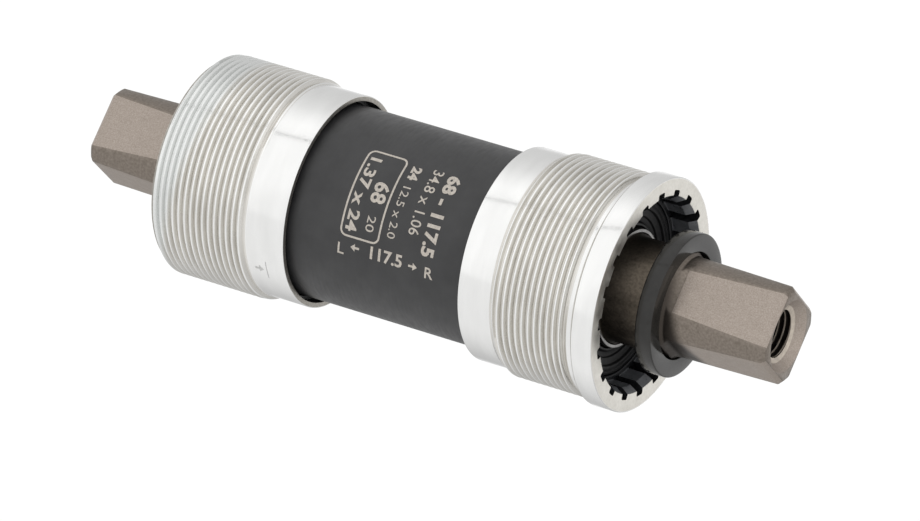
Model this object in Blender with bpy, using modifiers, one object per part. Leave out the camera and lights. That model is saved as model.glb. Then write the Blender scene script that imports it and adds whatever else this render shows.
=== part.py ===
"""Square-taper cartridge bottom bracket for a threaded bicycle frame.

Blender works in metres, +Z up. The lengths below are in millimetres and MM turns them into
metres. The spindle lies along X with the drive side at +X, and the origin is the middle of
the spindle on its axis. Every piece is turned about that axis, so each one hangs on an
empty whose own Z runs along the spindle: a station is a distance along that Z.
"""

import math

import bmesh
import bpy
from mathutils import Matrix

MM = 0.001
ROUND_STEPS = 32
SHARP_ANGLE = math.radians(30)
MERGE = 0.00001

# Spindle: a square taper at each end, 2 degrees a side
SPINDLE_LENGTH = 117.5
SPINDLE_END = SPINDLE_LENGTH / 2
FLAT_HALF_WIDTH = 6.26
FLAT_TAPER = math.radians(2)
FLAT_START = 42.15
FLAT_PHASE = math.radians(40.3)
CORNER_R = 7.69
END_CHAMFER = 0.4
BARREL_R = 8.15
SEAT_R = 8.5
SHOULDER_R = 9.6
WAIST_R = 8.4
SEAT_TAPER = 0.4
SQUARE_TAPER_TOP = 0.15
SQUARE_TAPER_BOTTOM = 0.45
SHOULDER_GAP = 0.2
SHOULDER_WIDTH = 2.0
WAIST_TAPER = 2.0
BOLT_HOLE_R = 3.5
BOLT_HOLE_DEPTH = 24.0
BOLT_HOLE_TIP = 1.6
COUNTERSINK_R = 5.2
COUNTERSINK_DEPTH = 1.7
FLAT_BLOCK_WIDTH = 10.8
FLAT_BLOCK_DEPTH = 3.0
FLAT_BLOCK_OVERHANG = 1.0

# Cup thread: 1.37 inch by 24 to the inch, drawn as parallel ridges
THREAD_PITCH = 25.4 / 24
CREST_R = 17.4
ROOT_R = 16.75
PLAIN_R = 16.65

# Drive cup, fixed on the cartridge. Its flange rests on the frame's shell
FLANGE_FACE = 35.55
FLANGE_SEAT = 32.13
FLANGE_R = 18.1
FLANGE_CHAMFER = 0.3
SEAT_INNER_R = 17.5
SEAT_FILLET = 0.7
DRIVE_THREAD_TOP = 30.65
DRIVE_RIDGES = 12
DRIVE_PLAIN_TOP = 17.6
DRIVE_CUP_INNER_END = 12.07
TUBE_SEAT_R = 15.2

# Tool splines in the outer end of the cup and of the adapter
SPLINES = 20
SPLINE_PHASE = math.radians(7.1)
GROOVE_R = 16.15
GROOVE_WIDTH = 1.8
LAND_R = 14.5
MOUTH_R = 15.3
MOUTH_CHAMFER = 1.25
SPLINE_DEPTH = 4.15
LEDGE_R = 13.7
GROOVE_UNDERCUT = 0.2
GROOVE_BLOCK_OVERLAP = 0.3
GROOVE_BLOCK_OVERHANG = 0.5

# Left adapter, which slides over the other end of the cartridge
ADAPTER_OUTER_END = -41.73
ADAPTER_INNER_END = -18.29
ADAPTER_PLAIN_END = -24.6
ADAPTER_FIRST_CREST = -25.68
ADAPTER_RIDGES = 15
ADAPTER_EDGE_R = 16.9
ADAPTER_RIM_R = 17.2
ADAPTER_CHAMFER = 0.4
ADAPTER_LIP_R = 15.8
ADAPTER_LIP_DEPTH = 2.0
ADAPTER_BORE_R = 15.25

# Cartridge tube
TUBE_R = 15.1
TUBE_BORE_R = 13.6
TUBE_TOP = 29.7
TUBE_BOTTOM = -29.9
DRIVE_CUP_SHOULDER = 29.9
ADAPTER_LEDGE_DEPTH = 5.5

# Bearings. The left one is the drive one mirrored, MIRROR_SHIFT further left
MIRROR_SHIFT = 0.2
RING_TOP = 29.3
RING_BOTTOM = 22.3
RACE_STATION = 25.8
OUTER_RING_R = 13.5
OUTER_LAND_R = 11.9
INNER_BORE_R = 8.65
INNER_LAND_R = 10.3
NOSE_R = 9.2
NOSE_TOP = 31.8
BALL_R = 1.5
BALLS = 11
BALL_SEGMENTS = 8
BALL_RINGS = 5
PITCH_R = 11.1
GROOVE_RADIUS = 1.65
GROOVE_CHORDS = 5
CAGE_INNER_R = 10.45
CAGE_OUTER_R = 11.75
CAGE_HALF_WIDTH = 2.0
POCKET_R = 1.65
POCKET_DEPTH = 2.4
POCKET_SIDES = 12
SPACER_INNER_R = 12.7

# Seals, shields and the collar on the spindle
SEAL_RIM_R = 12.1
SEAL_LIP_R = 9.45
SEAL_FACE = 31.3
SEAL_WEB_FACE = 30.4
SEAL_BACK = 29.5
SHIELD_OUTER_R = 11.75
SHIELD_INNER_R = 10.55
SHIELD_TOP = 22.95
SHIELD_BOTTOM = 22.65
COLLAR_TOP = 41.61
COLLAR_BOTTOM = 38.96
COLLAR_R = 11.07
COLLAR_BORE_R = 8.3
COLLAR_CHAMFER = 0.25

# Finishes: colour, roughness and metallic value
ALUMINIUM = ((0.72, 0.72, 0.70), 0.3, 1.0)
BLACK_COAT = ((0.03, 0.03, 0.03), 0.45, 0.2)
BROWN_STEEL = ((0.30, 0.26, 0.22), 0.45, 0.9)
BEARING_STEEL = ((0.55, 0.55, 0.56), 0.2, 1.0)
BLACK_RUBBER = ((0.02, 0.02, 0.02), 0.55, 0.0)
CAGE_RESIN = ((0.35, 0.28, 0.18), 0.5, 0.0)


def clear_scene():
    for obj in list(bpy.data.objects):
        bpy.data.objects.remove(obj, do_unlink=True)


def new_collection(name):
    collection = bpy.data.collections.new(name)
    bpy.context.scene.collection.children.link(collection)
    return collection


def new_material(name, finish):
    colour, roughness, metallic = finish
    material = bpy.data.materials.new(name)
    material.use_nodes = True
    shader = material.node_tree.nodes["Principled BSDF"]
    shader.inputs["Base Color"].default_value = (*colour, 1)
    shader.inputs["Roughness"].default_value = roughness
    shader.inputs["Metallic"].default_value = metallic
    material.diffuse_color = (*colour, 1)
    return material


def axis_empty(name):
    """An empty at the origin with its Z along the spindle."""
    empty = bpy.data.objects.new(name, None)
    empty.rotation_euler = (0, math.pi / 2, 0)
    parts.objects.link(empty)
    return empty


def place(name, form, holder, collection):
    """Make an object from a finished bmesh, on the empty that it belongs to."""
    mesh = bpy.data.meshes.new(name)
    form.to_mesh(mesh)
    form.free()
    obj = bpy.data.objects.new(name, mesh)
    obj.parent = holder
    collection.objects.link(obj)
    return obj


def place_cutter(name, form, holder):
    cutter = place(name, form, holder, cutters)
    cutter.hide_render = True
    cutter.display_type = "WIRE"
    return cutter


def turned(name, outline, holder, finish, closed=True, steps=ROUND_STEPS):
    """Turn (radius, station) points, which run down the outer side and up the inner one."""
    form = bmesh.new()
    points = [form.verts.new((radius * MM, 0, station * MM)) for radius, station in outline]
    for start, end in zip(points, points[1:]):
        form.edges.new((start, end))
    if closed:
        form.edges.new((points[-1], points[0]))
    obj = place(name, form, holder, parts)
    screw = obj.modifiers.new("turn", "SCREW")
    screw.steps = steps
    screw.render_steps = steps
    screw.use_merge_vertices = True
    screw.merge_threshold = MERGE
    obj.data.materials.append(new_material(name, finish))
    return obj


def cut(obj, cutter):
    boolean = obj.modifiers.new(cutter.name, "BOOLEAN")
    boolean.operation = "DIFFERENCE"
    boolean.solver = "EXACT"
    boolean.object = cutter


def bake_and_shade(obj):
    """Keep the evaluated mesh, with round walls smooth and their edges sharp."""
    graph = bpy.context.evaluated_depsgraph_get()
    mesh = bpy.data.meshes.new_from_object(obj.evaluated_get(graph))
    obj.modifiers.clear()
    obj.data = mesh
    mesh.shade_smooth()
    mesh.set_sharp_from_angle(angle=SHARP_ANGLE)


def mirrored(outline):
    """The same outline for the left end, still running down its outer side."""
    return [(radius, -station - MIRROR_SHIFT) for radius, station in reversed(outline)]


def ridges(top, count):
    """Crests and roots of a thread, from the root at its top station downwards."""
    points = [(ROOT_R, top)]
    for ridge in range(count):
        points.append((CREST_R, top - (ridge + 0.5) * THREAD_PITCH))
        points.append((ROOT_R, top - (ridge + 1) * THREAD_PITCH))
    return points


def race_arc(direction):
    """A ball groove: direction is 1 in an outer ring and -1 in an inner one."""
    land_r = OUTER_LAND_R if direction > 0 else INNER_LAND_R
    half_angle = math.acos(abs(land_r - PITCH_R) / GROOVE_RADIUS)
    points = []
    for chord in range(GROOVE_CHORDS + 1):
        angle = half_angle * (2 * chord / GROOVE_CHORDS - 1)
        radius = PITCH_R + direction * GROOVE_RADIUS * math.cos(angle)
        points.append((radius, RACE_STATION + direction * GROOVE_RADIUS * math.sin(angle)))
    return points


def spline_cutter(name, floor, face, holder):
    """One block for each tool groove, from its floor to just past the end face."""
    inner_r = LAND_R - GROOVE_BLOCK_OVERLAP
    past_face = face + math.copysign(GROOVE_BLOCK_OVERHANG, face - floor)
    size = Matrix.Diagonal(((GROOVE_R - inner_r) * MM, GROOVE_WIDTH * MM,
                            abs(past_face - floor) * MM, 1))
    centre = Matrix.Translation(((GROOVE_R + inner_r) / 2 * MM, 0,
                                 (past_face + floor) / 2 * MM))
    form = bmesh.new()
    for groove in range(SPLINES):
        angle = holder_angle(SPLINE_PHASE + groove * math.tau / SPLINES)
        turn = Matrix.Rotation(angle, 4, "Z")
        bmesh.ops.create_cube(form, size=1, matrix=turn @ centre @ size)
    return place_cutter(name, form, holder)


def holder_angle(angle):
    """An angle from +Y towards +Z, as the turned empties measure it from their own X."""
    return angle + math.pi / 2


def flat_cutter(holder):
    """Eight blocks whose inner faces are the tapered flats of the two square ends."""
    length = SPINDLE_END - FLAT_START + FLAT_BLOCK_OVERHANG
    size = Matrix.Diagonal((FLAT_BLOCK_DEPTH * MM, FLAT_BLOCK_WIDTH * MM, length * MM, 1))
    form = bmesh.new()
    for side in (1, -1):
        for flat in range(4):
            turn = Matrix.Rotation(holder_angle(FLAT_PHASE + flat * math.pi / 2), 4, "Z")
            corner = Matrix.Translation((FLAT_HALF_WIDTH * MM, 0, side * SPINDLE_END * MM))
            tilt = Matrix.Rotation(-side * FLAT_TAPER, 4, "Y")
            middle = side * (FLAT_BLOCK_OVERHANG - length / 2)
            centre = Matrix.Translation((FLAT_BLOCK_DEPTH / 2 * MM, 0, middle * MM))
            bmesh.ops.create_cube(form, size=1, matrix=turn @ corner @ tilt @ centre @ size)
    return place_cutter("flat_cutter", form, holder)


def pocket_cutter(name, station, holder):
    """A radial cylinder at each ball, for the pockets of a cage."""
    lay = Matrix.Rotation(math.pi / 2, 4, "Y")
    form = bmesh.new()
    for ball in range(BALLS):
        turn = Matrix.Rotation(ball * math.tau / BALLS, 4, "Z")
        centre = Matrix.Translation((PITCH_R * MM, 0, station * MM))
        bmesh.ops.create_cone(form, cap_ends=True, segments=POCKET_SIDES,
                              radius1=POCKET_R * MM, radius2=POCKET_R * MM,
                              depth=POCKET_DEPTH * MM, matrix=turn @ centre @ lay)
    return place_cutter(name, form, holder)


def make_drive_cup(holder):
    outline = [(MOUTH_R, FLANGE_FACE), (FLANGE_R - FLANGE_CHAMFER, FLANGE_FACE),
               (FLANGE_R, FLANGE_FACE - FLANGE_CHAMFER), (FLANGE_R, FLANGE_SEAT),
               (SEAT_INNER_R, FLANGE_SEAT), (ROOT_R, FLANGE_SEAT - SEAT_FILLET)]
    outline += ridges(DRIVE_THREAD_TOP, DRIVE_RIDGES)
    outline += [(PLAIN_R, DRIVE_PLAIN_TOP), (PLAIN_R, DRIVE_CUP_INNER_END),
                (TUBE_SEAT_R, DRIVE_CUP_INNER_END), (TUBE_SEAT_R, DRIVE_CUP_SHOULDER),
                (LEDGE_R, DRIVE_CUP_SHOULDER), (LEDGE_R, FLANGE_FACE - SPLINE_DEPTH),
                (LAND_R, FLANGE_FACE - SPLINE_DEPTH), (LAND_R, FLANGE_FACE - MOUTH_CHAMFER)]
    cup = turned("drive_cup", outline, holder, ALUMINIUM)
    floor = FLANGE_FACE - SPLINE_DEPTH - GROOVE_UNDERCUT
    cut(cup, spline_cutter("drive_spline_cutter", floor, FLANGE_FACE, holder))


def make_left_adapter(holder):
    lip_end = ADAPTER_INNER_END - ADAPTER_LIP_DEPTH
    ledge = ADAPTER_OUTER_END + SPLINE_DEPTH
    shoulder = ADAPTER_OUTER_END + ADAPTER_LEDGE_DEPTH
    thread_top = ADAPTER_FIRST_CREST + THREAD_PITCH / 2
    outline = [(ADAPTER_LIP_R, ADAPTER_INNER_END), (PLAIN_R, ADAPTER_INNER_END),
               (PLAIN_R, ADAPTER_PLAIN_END)]
    outline += ridges(thread_top, ADAPTER_RIDGES)
    outline += [(ADAPTER_RIM_R, ADAPTER_OUTER_END + ADAPTER_CHAMFER),
                (ADAPTER_EDGE_R, ADAPTER_OUTER_END), (MOUTH_R, ADAPTER_OUTER_END),
                (LAND_R, ADAPTER_OUTER_END + MOUTH_CHAMFER), (LAND_R, ledge),
                (LEDGE_R, ledge), (LEDGE_R, shoulder), (ADAPTER_BORE_R, shoulder),
                (ADAPTER_BORE_R, lip_end), (ADAPTER_LIP_R, lip_end)]
    adapter = turned("left_adapter", outline, holder, ALUMINIUM)
    cut(adapter, spline_cutter("left_spline_cutter", ledge + GROOVE_UNDERCUT,
                               ADAPTER_OUTER_END, holder))


def make_cartridge(holder):
    turned("cartridge_tube", [(TUBE_R, TUBE_TOP), (TUBE_R, TUBE_BOTTOM),
                              (TUBE_BORE_R, TUBE_BOTTOM), (TUBE_BORE_R, TUBE_TOP)],
           holder, BLACK_COAT)
    spacer_top = RING_BOTTOM - MIRROR_SHIFT
    turned("bearing_spacer", [(OUTER_RING_R, spacer_top), (OUTER_RING_R, -RING_BOTTOM),
                              (SPACER_INNER_R, -RING_BOTTOM), (SPACER_INNER_R, spacer_top)],
           holder, ALUMINIUM)


def make_fixed_bearing_pieces(side, flip, holder):
    """The outer ring, seal and shield, which stay in the tube."""
    ring = [(OUTER_RING_R, RING_TOP), (OUTER_RING_R, RING_BOTTOM), (OUTER_LAND_R, RING_BOTTOM)]
    ring += race_arc(1)
    ring.append((OUTER_LAND_R, RING_TOP))
    turned(side + "_outer_ring", flip(ring), holder, BEARING_STEEL)
    seal = [(OUTER_RING_R, SEAL_FACE), (OUTER_RING_R, SEAL_BACK), (SEAL_LIP_R, SEAL_BACK),
            (SEAL_LIP_R, SEAL_WEB_FACE), (SEAL_RIM_R, SEAL_WEB_FACE), (SEAL_RIM_R, SEAL_FACE)]
    turned(side + "_seal", flip(seal), holder, BLACK_RUBBER)
    shield = [(SHIELD_OUTER_R, SHIELD_TOP), (SHIELD_OUTER_R, SHIELD_BOTTOM),
              (SHIELD_INNER_R, SHIELD_BOTTOM), (SHIELD_INNER_R, SHIELD_TOP)]
    turned(side + "_shield", flip(shield), holder, BEARING_STEEL)


def make_inner_ring(side, flip, holder):
    outline = [(NOSE_R, NOSE_TOP), (NOSE_R, RING_TOP), (INNER_LAND_R, RING_TOP)]
    outline += race_arc(-1)
    outline += [(INNER_LAND_R, RING_BOTTOM), (INNER_BORE_R, RING_BOTTOM),
                (INNER_BORE_R, NOSE_TOP)]
    turned(side + "_inner_ring", flip(outline), holder, BEARING_STEEL)


def make_cage_and_balls(side, station, holder):
    top = station + CAGE_HALF_WIDTH
    bottom = station - CAGE_HALF_WIDTH
    cage = turned(side + "_ball_cage", [(CAGE_OUTER_R, top), (CAGE_OUTER_R, bottom),
                                        (CAGE_INNER_R, bottom), (CAGE_INNER_R, top)],
                  holder, CAGE_RESIN, steps=4 * BALLS)
    cut(cage, pocket_cutter(side + "_pocket_cutter", station, holder))
    form = bmesh.new()
    bmesh.ops.create_uvsphere(form, u_segments=BALL_SEGMENTS, v_segments=BALL_RINGS,
                              radius=BALL_R * MM)
    first = place(side + "_ball_01", form, holder, parts)
    first.data.materials.append(new_material(side + "_ball", BEARING_STEEL))
    first.data.shade_smooth()
    first.location = (PITCH_R * MM, 0, station * MM)
    for number in range(1, BALLS):
        angle = number * math.tau / BALLS
        ball = bpy.data.objects.new(f"{side}_ball_{number + 1:02d}", first.data)
        ball.parent = holder
        ball.location = (PITCH_R * MM * math.cos(angle), PITCH_R * MM * math.sin(angle),
                         station * MM)
        parts.objects.link(ball)


def half_spindle():
    """Outline of the drive half, from the bottom of its bolt hole to the middle of the waist."""
    hole_floor = SPINDLE_END - BOLT_HOLE_DEPTH
    shoulder_top = RING_BOTTOM - SHOULDER_GAP
    shoulder_bottom = shoulder_top - SHOULDER_WIDTH
    return [(0, hole_floor - BOLT_HOLE_TIP), (BOLT_HOLE_R, hole_floor),
            (BOLT_HOLE_R, SPINDLE_END - COUNTERSINK_DEPTH), (COUNTERSINK_R, SPINDLE_END),
            (CORNER_R - END_CHAMFER, SPINDLE_END), (CORNER_R, SPINDLE_END - END_CHAMFER),
            (CORNER_R, FLAT_START - SQUARE_TAPER_TOP),
            (BARREL_R, FLAT_START - SQUARE_TAPER_BOTTOM), (BARREL_R, NOSE_TOP + SEAT_TAPER),
            (SEAT_R, NOSE_TOP), (SEAT_R, shoulder_top), (SHOULDER_R, shoulder_top),
            (SHOULDER_R, shoulder_bottom), (WAIST_R, shoulder_bottom - WAIST_TAPER)]


def make_spindle(holder):
    drive_half = half_spindle()
    left_half = [(radius, -station) for radius, station in reversed(drive_half)]
    spindle = turned("spindle", drive_half + left_half, holder, BROWN_STEEL, closed=False)
    cut(spindle, flat_cutter(holder))
    turned("spindle_collar", [(COLLAR_R - COLLAR_CHAMFER, COLLAR_TOP),
                              (COLLAR_R, COLLAR_TOP - COLLAR_CHAMFER),
                              (COLLAR_R, COLLAR_BOTTOM), (COLLAR_BORE_R, COLLAR_BOTTOM),
                              (COLLAR_BORE_R, COLLAR_TOP)], holder, BLACK_RUBBER)


clear_scene()
parts = new_collection("bottom_bracket")
cutters = new_collection("cutters")

cartridge = axis_empty("cartridge_axis")
spindle_axis = axis_empty("spindle_axis")
make_cartridge(cartridge)
make_drive_cup(cartridge)
make_left_adapter(axis_empty("left_adapter_axis"))
make_spindle(spindle_axis)
for side_name, side_flip, race in (("drive", list, RACE_STATION),
                                   ("left", mirrored, -RACE_STATION - MIRROR_SHIFT)):
    make_fixed_bearing_pieces(side_name, side_flip, cartridge)
    make_inner_ring(side_name, side_flip, spindle_axis)
    make_cage_and_balls(side_name, race, axis_empty(side_name + "_cage_axis"))

bpy.context.view_layer.update()
for piece in parts.objects:
    if piece.modifiers:
        bake_and_shade(piece)
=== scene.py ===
"""Looks of a square-taper cartridge bottom bracket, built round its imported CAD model.

The frame is in metres. Lengths here are in millimetres, and MM turns them into metres. A point
of a turned piece is (station, radius): how far along the spindle's axis, X, and how far out
from it. Angles go round that axis, from +Y towards +Z. The fine pieces stand for the CAD nodes
and keep their stations and radii, which are read from the frame where a box gives them.
"""

import math

import bmesh
import bpy
from mathutils import Matrix, Vector


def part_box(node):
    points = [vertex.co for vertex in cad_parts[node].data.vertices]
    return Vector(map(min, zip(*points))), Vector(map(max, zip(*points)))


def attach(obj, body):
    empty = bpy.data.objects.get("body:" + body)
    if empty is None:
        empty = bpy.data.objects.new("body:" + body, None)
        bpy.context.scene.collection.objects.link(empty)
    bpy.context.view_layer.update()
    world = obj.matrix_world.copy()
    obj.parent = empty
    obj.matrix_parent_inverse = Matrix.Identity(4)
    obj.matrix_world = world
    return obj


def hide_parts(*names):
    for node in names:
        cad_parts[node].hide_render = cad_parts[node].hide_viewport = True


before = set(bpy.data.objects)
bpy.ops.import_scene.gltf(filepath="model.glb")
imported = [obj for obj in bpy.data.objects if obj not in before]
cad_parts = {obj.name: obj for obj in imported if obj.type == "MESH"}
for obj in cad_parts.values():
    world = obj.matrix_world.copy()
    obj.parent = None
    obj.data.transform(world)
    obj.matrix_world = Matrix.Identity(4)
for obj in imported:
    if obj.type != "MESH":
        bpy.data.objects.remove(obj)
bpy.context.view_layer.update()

MM = 0.001

# Steps round the axis
STEPS = 240
TUBE_STEPS = 192
COLLAR_STEPS = 160
HIDDEN_STEPS = 96
SHARP_ANGLE = math.radians(38)

# Most of a noise texture lies between these
NOISE_LOW = 0.3
NOISE_HIGH = 0.7

# Thread of the cups: one pitch as (part of the pitch, height), and the faces' slots
PITCH = 25.4 / 24
ROOT_R = 16.75
CREST_R = 17.4
THREAD_FORM = ((0, 0), (0.12, 0.04), (0.34, 0.9), (0.40, 1), (0.60, 1), (0.66, 0.9), (0.88, 0.04))
RIGHT_HAND = 1
LEFT_HAND = -1

# Slots of the cups' materials
BARE, FACE, BLACK, VALLEY, FLANK, CREST, EDGE, DULL_RIM_AND_SHADOW = range(8)
THREAD_SLOTS = (VALLEY, FLANK, FLANK, CREST, FLANK, FLANK, VALLEY)
THREAD = "thread"

# Tool splines, and the cutter of the grooves between them
SPLINES = 20
SPLINE_PHASE = math.radians(7.1)
GROOVE_R = 16.15
GROOVE_WIDTH = 1.8
GROOVE_CORNER = 0.3
LAND_R = 14.5
MOUTH_R = 15.3
MOUTH_CHAMFER = 1.25
SPLINE_DEPTH = 4.15
LEDGE_R = 13.7
CUTTER_INNER_R = LAND_R - 0.35
CUTTER_FLOOR = 0.15
CUTTER_PAST_FACE = 0.6

# Drive cup: depths from its face, and the plain end's length
FLANGE_WIDTH = 3.42
SEAT_INNER_R = 17.5
SEAT_FILLET = 0.7
DRIVE_THREAD_DEPTH = 4.75
DRIVE_PLAIN_LENGTH = 5.55
DRIVE_BORE_R = 15.2
BEARING_STOP = 29.9

# Left adapter: its plain lip, the chamfer and wall at its outer end, and its bore
LEFT_PLAIN_LENGTH = 6.35
LIP_R = 15.8
LIP_DEPTH = 2.0
LEFT_CHAMFER = 0.42
LEFT_CHAMFER_R = 16.5
LEFT_WALL = 5.5
LEFT_BORE_R = 15.25

# Both cups: the plain part, its step down to the thread's root, and the lengths over which
# the thread rises at its outer end and dies away at its inner one
PLAIN_R = 16.65
PLAIN_STEP = 0.1
OUTER_FADE = 0.6
INNER_FADE = 1.3

# Spindle: its square ends, and the run-outs where they meet the round middle
FLAT_HALF_WIDTH = 6.26
FLAT_TAPER = math.tan(math.radians(2))
FLAT_PHASE = math.radians(40.3)
FLAT_CUTS = 8
CORNER_CUTS = 8
EDGE_BREAK = math.radians(0.8)
ROUND_REACH = math.radians(30)
LEAST_REACH = math.radians(8)
CORNER_R = 7.69
BARREL_R = 8.15
SQUARE_STEP = 3
SQUARE_STEPS = 5
RUN_OUT_START = 43.0
RUN_OUT_ROUND = 2.0
RUN_OUT_STEP = 0.2
RUN_OUT_RINGS = 9
BARREL_START = 41.75
BARREL_SWELL = 0.4

# Bevel at the square's end. A ring beside each of its edges softens it, and differs from the
# edge by (distance from the middle, half width, corner radius)
END_BEVEL = 0.6
FRONT_SOFTENING = (-0.06, 0.08, 0.08)
BACK_SOFTENING = (0.08, -0.05, -0.06)
BACK_EDGE = 0.05

# The round middle, as (distance from the middle, radius)
BARREL = ((40.3, BARREL_R), (32.4, BARREL_R), (31.9, 8.5), (22.1, 8.5), (22.1, 9.6), (20.1, 9.6),
          (18.1, 8.4))

# Bolt holes
COUNTERSINK_R = 5.6
COUNTERSINK_DEPTH = 1.3
BOLT_MINOR_R = 3.7
BOLT_MAJOR_R = 4.3
BOLT_PITCH = 1.0
BOLT_HOLE_DEPTH = 24.0
BOLT_MOUTH_FADE = 0.4
BOLT_FLOOR_FADE = 0.6
MOUTH_DEPTH = 0.25
THROAT_R = BOLT_MAJOR_R + 0.15
DRILL_POINT = 1.6

# Slots of the spindle's materials. The bolt thread takes VALLEY for its inner edges, and
# FLANK and CREST for the metal behind them, painted near black as painted shade inside the hole
BLASTED, GROUND, TURNED = BARE, FACE, BLACK

# Colour blends along X: (lean, station, whole up to, gone past). The first is a painted highlight that
# whitens the left thread's outer end; the collar's is painted shade on the steel beside it
PAINTED_GLARE_END = (-0.2, -50.0, 10.5, 12.5)
COLLAR_SHADE = (0.35, 40.0, 3.0, 5.2)
SHADED_STEEL = (0.05, 0.042, 0.036)

# Bores of the round pieces
COLLAR_BORE_R = 8.3
TUBE_BORE_R = 13.6
SPACER_BORE_R = 12.7

# Bearings
RING_OUTER_R = 13.5
OUTER_LAND_R = 11.9
INNER_LAND_R = 10.3
RING_BORE_R = 8.65
RING_ENDS = (22.3, 29.3)
NOSE_END = 31.8
NOSE_R = 9.2
SHIELD_ENDS = (22.65, 22.95)
SHIELD_INNER_R = 10.55
SHIELD_OUTER_R = 11.75
PITCH_R = 11.1
RACE_STATION = 25.8
RACE_ROUND = 1.65
RACE_CUTS = 6
BALL_R = 1.5
BALLS = 11
CAGE_INNER_R = 10.45
CAGE_OUTER_R = 11.75
CAGE_HALF_WIDTH = 2.0
POCKET_R = 1.62
POCKET_DEPTH = 2.4
MIRROR_SHIFT = 0.2

# Marks, which lie just above the tube's wall. A figure's strips are SLICE wide, to follow it
TUBE_R = 15.1
MARK_R = TUBE_R + 0.012
MARK_THICKNESS = 0.02
ENGRAVING_LIFT = 0.01
SLICE = 0.4
NEAR = 0.001
FRAME_LINE = 0.3
ENGRAVED_LINE = 0.12

# Arrows: length over all and of the head, and half widths of the shaft and the barbs
ARROW_LENGTH = 1.5
ARROW_HEAD = 0.75
ARROW_SHAFT = 0.17
ARROW_BARB = 0.6

# Figures: name, text, size, station, degrees round, turned down, boldness, stretch
FIGURES = (("mark_thread_size", "1.37 x 24", 2.6, -8.0, 136, True, 0.07, 1.28),
           ("mark_shell_width", "68", 3.4, -5.0, 134, True, 0.09, 1.0),
           ("mark_splines", "20", 2.0, -4.9, 152.5, True, 0.0, 1.3),
           ("mark_row_1", "68 - 117.5", 2.9, 5.3, 136.5, True, 0.11, 1.12),
           ("mark_row_2", "34.8 x 1.06", 2.5, 2.35, 131, True, 0.01, 0.98),
           ("mark_row_3", "12.5 x 2.0", 1.9, -1.15, 141, True, 0.0, 1.14),
           ("mark_row_4", "24", 2.1, -1.1, 117, True, 0.1, 1.1),
           ("mark_length", "117.5", 2.75, -1.5, 169, False, 0.07, 1.0),
           ("mark_left", "L", 2.5, -9.2, 171.5, False, 0.03, 1.0),
           ("mark_right", "R", 2.5, 6.0, 171, False, 0.03, 1.0))

# Camera: degrees and millimetres, with the sideways, upward and backward parts of its place
AZIMUTH = 30.5
ELEVATION = 30.8
LENS = 278.1
SENSOR_WIDTH = 36
SIDEWAYS, UPWARD, BACKWARD = 2.363, -4.096, 1069.22

# Studio: metres, and brightness along Y, where 1 is white. -Y is the front
BRIGHTEST = 1.2
ROOM_GREYS = ((-1, 1.02), (-0.9, 1.06), (-0.8, 1.14), (0.2, 1.18), (0.38, 1.07), (0.6, 0.87),
              (1, 0.66))
FLOOR_DROP = 0.8
FLOOR_REACH = 40.0
FLOOR_GREYS = ((-6, 0.96), (-0.44, 0.95), (-0.18, 0.87), (0.04, 0.75), (0.28, 0.61), (0.56, 0.54),
               (0.66, 0.62), (0.88, 1.03), (1.6, 1.03), (3, 0.8), (6, 0.7))
SEAM_ANGLE = 94.7
SEAM_DISTANCE = 0.6
SEAM_SIZE = (3.0, 0.014, 0.002)


def span(node):
    """First and last station of a CAD node."""
    low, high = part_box(node)
    return low.x / MM, high.x / MM


def radius_of(node):
    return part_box(node)[1].z / MM


# ---------------------------------------------------------------- materials

def new_material(name, colour, roughness, metallic, **sockets):
    material = bpy.data.materials.new(name)
    material.use_nodes = True
    shader = material.node_tree.nodes["Principled BSDF"]
    shader.inputs["Base Color"].default_value = (*colour, 1)
    shader.inputs["Roughness"].default_value = roughness
    shader.inputs["Metallic"].default_value = metallic
    for socket, value in sockets.items():
        shader.inputs[socket.replace("_", " ")].default_value = value
    return material


def add_node(material, kind, **settings):
    node = material.node_tree.nodes.new("ShaderNode" + kind)
    for setting, value in settings.items():
        setattr(node, setting, value)
    return node


def grain(material, along, detail, across=None):
    """Noise in the piece's own coordinates, with so many features a metre along X and across it."""
    links = material.node_tree.links
    place = add_node(material, "TexCoord")
    scale = add_node(material, "Mapping")
    if across is None:
        across = along
    scale.inputs["Scale"].default_value = (along, across, across)
    noise = add_node(material, "TexNoise")
    noise.inputs["Scale"].default_value = 1.0
    noise.inputs["Detail"].default_value = detail
    links.new(place.outputs["Object"], scale.inputs["Vector"])
    links.new(scale.outputs["Vector"], noise.inputs["Vector"])
    return noise.outputs["Fac"]


def ring_grain(material, per_metre, detail=2.0):
    """Noise that depends on the distance from the axis, for a face turned on a lathe."""
    links = material.node_tree.links
    place = add_node(material, "TexCoord")
    split = add_node(material, "SeparateXYZ")
    flat = add_node(material, "CombineXYZ")
    length = add_node(material, "VectorMath", operation="LENGTH")
    scale = add_node(material, "Math", operation="MULTIPLY")
    scale.inputs[1].default_value = per_metre
    noise = add_node(material, "TexNoise", noise_dimensions="1D")
    noise.inputs["Scale"].default_value = 1.0
    noise.inputs["Detail"].default_value = detail
    links.new(place.outputs["Object"], split.inputs["Vector"])
    links.new(split.outputs["Y"], flat.inputs["Y"])
    links.new(split.outputs["Z"], flat.inputs["Z"])
    links.new(flat.outputs["Vector"], length.inputs[0])
    links.new(length.outputs["Value"], scale.inputs[0])
    links.new(scale.outputs["Value"], noise.inputs["W"])
    return noise.outputs["Fac"]


def vary_colour(material, factor, dark, light, low=NOISE_LOW, high=NOISE_HIGH):
    ramp = add_node(material, "ValToRGB")
    ramp.color_ramp.elements[0].position = low
    ramp.color_ramp.elements[0].color = (*dark, 1)
    ramp.color_ramp.elements[1].position = high
    ramp.color_ramp.elements[1].color = (*light, 1)
    shader = material.node_tree.nodes["Principled BSDF"]
    material.node_tree.links.new(factor, ramp.inputs["Fac"])
    material.node_tree.links.new(ramp.outputs["Color"], shader.inputs["Base Color"])
    return ramp


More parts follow.
